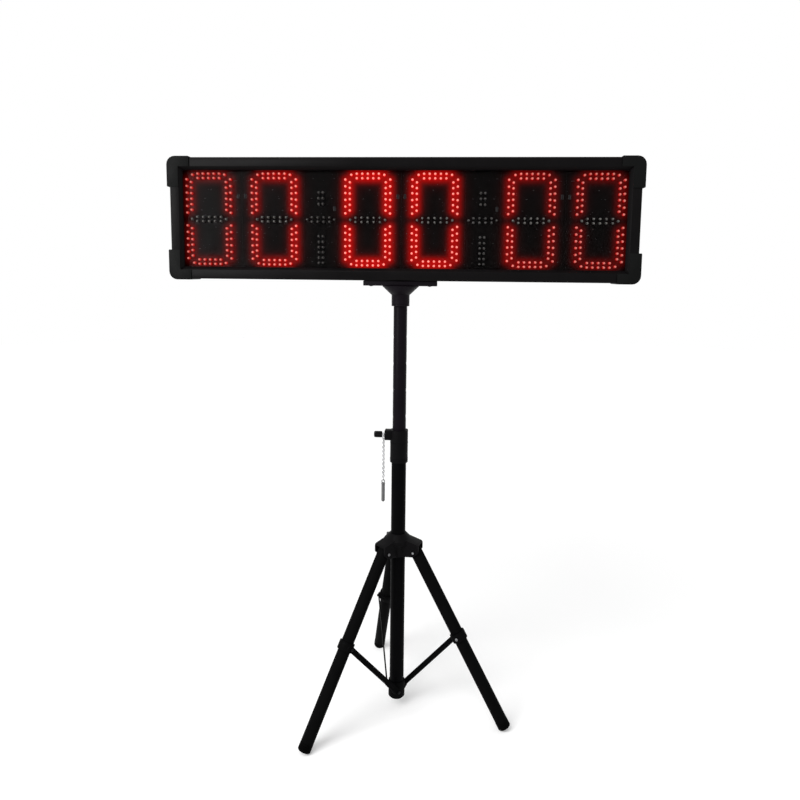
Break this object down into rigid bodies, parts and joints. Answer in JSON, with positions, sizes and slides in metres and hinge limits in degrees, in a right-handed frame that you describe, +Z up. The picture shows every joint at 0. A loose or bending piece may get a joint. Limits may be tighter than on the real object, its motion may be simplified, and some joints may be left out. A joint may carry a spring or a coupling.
{
  "type": "race countdown timer on tripod stand",
  "caption": "LED countdown timer for races: a long flat display case with corner protectors on a height-adjustable folding tripod stand.",
  "frame": {"origin": "on the floor, at the middle of the whole object's outline in plan", "axes": "+Z up, the display faces -Y, +X is to the right of someone who reads it"},
  "size_m": [1.0146, 0.4546, 1.2597],
  "materials": {
    "case_metal": "black powder coat, satin",
    "socket_metal": "black powder coat, satin",
    "back_sheet": "black powder coat, matt",
    "corner_plastic": "moulded black, fine grain",
    "clear_sheet": "clear acrylic sheet, glossy",
    "led_board": "black solder mask with red LEDs",
    "circuit_board": "green solder mask",
    "supply_case": "bare sheet, brushed",
    "switch_plastic": "moulded black, semi-gloss",
    "lead_sheath": "dark cable sheath",
    "tube_paint": "black powder coat, satin",
    "stand_plastic": "moulded black, fine grain",
    "foot_rubber": "black rubber, matt",
    "bolt_steel": "zinc plated",
    "chain_steel": "nickel plated",
    "pin_steel": "dark plated"
  },
  "bodies": {
    "stand": {"lower_tube": "tube_paint", "bottom_collar": "stand_plastic", "bottom_plug": "stand_plastic", "collar_bolt_1": "bolt_steel", "collar_bolt_2": "bolt_steel", "collar_bolt_3": "bolt_steel", "height_collar": "stand_plastic"},
    "hub": {"leg_hub": "stand_plastic", "hub_bolt_1": "bolt_steel", "hub_bolt_2": "bolt_steel", "hub_bolt_3": "bolt_steel"},
    "hub_lock": {"hub_knob": "stand_plastic"},
    "leg_1": {"leg_tube_1": "tube_paint", "foot_cap_1": "foot_rubber", "leg_bracket_1": "stand_plastic", "brace_pin_1": "bolt_steel"},
    "leg_2": {"leg_tube_2": "tube_paint", "foot_cap_2": "foot_rubber", "leg_bracket_2": "stand_plastic", "brace_pin_2": "bolt_steel"},
    "leg_3": {"leg_tube_3": "tube_paint", "foot_cap_3": "foot_rubber", "leg_bracket_3": "stand_plastic", "brace_pin_3": "bolt_steel"},
    "brace_arm_1": {"brace_1": "tube_paint", "brace_bolt_1": "bolt_steel"},
    "brace_arm_2": {"brace_2": "tube_paint", "brace_bolt_2": "bolt_steel"},
    "brace_arm_3": {"brace_3": "tube_paint", "brace_bolt_3": "bolt_steel"},
    "mast": {"upper_tube": "tube_paint"},
    "display": {"pole_socket": "socket_metal", "mount_plate": "case_metal", "frame_top_rail": "case_metal", "frame_bottom_rail": "case_metal", "frame_left_rail": "case_metal", "frame_right_rail": "case_metal", "corner_bottom_left": "corner_plastic", "corner_bottom_right": "corner_plastic", "corner_top_left": "corner_plastic", "corner_top_right": "corner_plastic", "front_cover": "clear_sheet", "back_panel": "back_sheet", "digit_board_1": "led_board", "digit_board_2": "led_board", "digit_board_3": "led_board", "digit_board_4": "led_board", "digit_board_5": "led_board", "digit_board_6": "led_board", "colon_board_1": "led_board", "colon_board_2": "led_board", "control_board": "circuit_board", "power_supply": "supply_case", "power_inlet": "switch_plastic", "wiring_loom": "lead_sheath", "mains_lead": "lead_sheath"},
    "switch": {"power_switch": "switch_plastic"},
    "clamp": {"clamp_knob": "stand_plastic"},
    "chain": {"pin_chain": "chain_steel"},
    "pin": {"safety_pin": "pin_steel"}
  },
  "joints": [
    {"name": "hub_slide", "type": "slide", "parent": "stand", "child": "hub", "axis": [0, 0, 1], "range_m": [0, 0.0725]},
    {"name": "leg_hinge_1", "type": "hinge", "parent": "hub", "child": "leg_1", "pos_m": [-0.01064, 0.00717, 0.38696], "axis": [-0.9681, -0.2504, 0], "range_deg": [0, 25.43]},
    {"name": "leg_hinge_2", "type": "hinge", "parent": "hub", "child": "leg_2", "pos_m": [-0.03031, -0.06376, 0.38696], "axis": [0.7009, -0.7133, 0], "range_deg": [0, 25.43]},
    {"name": "leg_hinge_3", "type": "hinge", "parent": "hub", "child": "leg_3", "pos_m": [0.04095, -0.04533, 0.38696], "axis": [0.2672, 0.9636, 0], "range_deg": [0, 25.43]},
    {"name": "brace_hinge_1", "type": "hinge", "parent": "stand", "child": "brace_arm_1", "pos_m": [-0.003, -0.02236, 0.0454], "axis": [-0.9681, -0.2504, 0], "range_deg": [-28.32, 0]},
    {"name": "brace_hinge_2", "type": "hinge", "parent": "stand", "child": "brace_arm_2", "pos_m": [-0.00856, -0.04238, 0.0454], "axis": [0.7009, -0.7133, 0], "range_deg": [-28.32, 0]},
    {"name": "brace_hinge_3", "type": "hinge", "parent": "stand", "child": "brace_arm_3", "pos_m": [0.01156, -0.03718, 0.0454], "axis": [0.2672, 0.9636, 0], "range_deg": [-28.32, 0]},
    {"name": "hub_knob_turn", "type": "hinge", "parent": "hub", "child": "hub_lock", "pos_m": [0, -0.03397, 0.38496], "axis": [0.7133, 0.7009, 0], "range_deg": [-360, 0]},
    {"name": "mast_slide", "type": "slide", "parent": "stand", "child": "mast", "axis": [0, 0, 1], "range_m": [-0.27, 0.2]},
    {"name": "display_swivel", "type": "hinge", "parent": "mast", "child": "display", "pos_m": [0, -0.03397, 1.1274], "axis": [0, 0, 1], "continuous": true},
    {"name": "switch_rock", "type": "hinge", "parent": "display", "child": "switch", "pos_m": [0.33, -0.01222, 1.0954], "axis": [0, 0, 1], "range_deg": [-16, 0]},
    {"name": "clamp_knob_turn", "type": "hinge", "parent": "stand", "child": "clamp", "pos_m": [0, -0.03397, 0.652], "axis": [-1, 0, 0], "range_deg": [-360, 0]},
    {"name": "chain_swing", "type": "hinge", "parent": "stand", "child": "chain", "pos_m": [-0.0353, -0.03397, 0.652], "axis": [1, 0, 0], "range_deg": [-75, 75]},
    {"name": "pin_swing", "type": "hinge", "parent": "chain", "child": "pin", "pos_m": [-0.0353, -0.03397, 0.5446], "axis": [0, 1, 0], "range_deg": [-15, 15]}
  ],
  "couplings": [
    {"joint": "leg_hinge_1", "follows": "hub_slide", "rad_per_m": 6.1147},
    {"joint": "leg_hinge_2", "follows": "hub_slide", "rad_per_m": 6.1147},
    {"joint": "leg_hinge_3", "follows": "hub_slide", "rad_per_m": 6.1147},
    {"joint": "brace_hinge_1", "follows": "hub_slide", "rad_per_m": -6.8124},
    {"joint": "brace_hinge_2", "follows": "hub_slide", "rad_per_m": -6.8124},
    {"joint": "brace_hinge_3", "follows": "hub_slide", "rad_per_m": -6.8124}
  ]
}
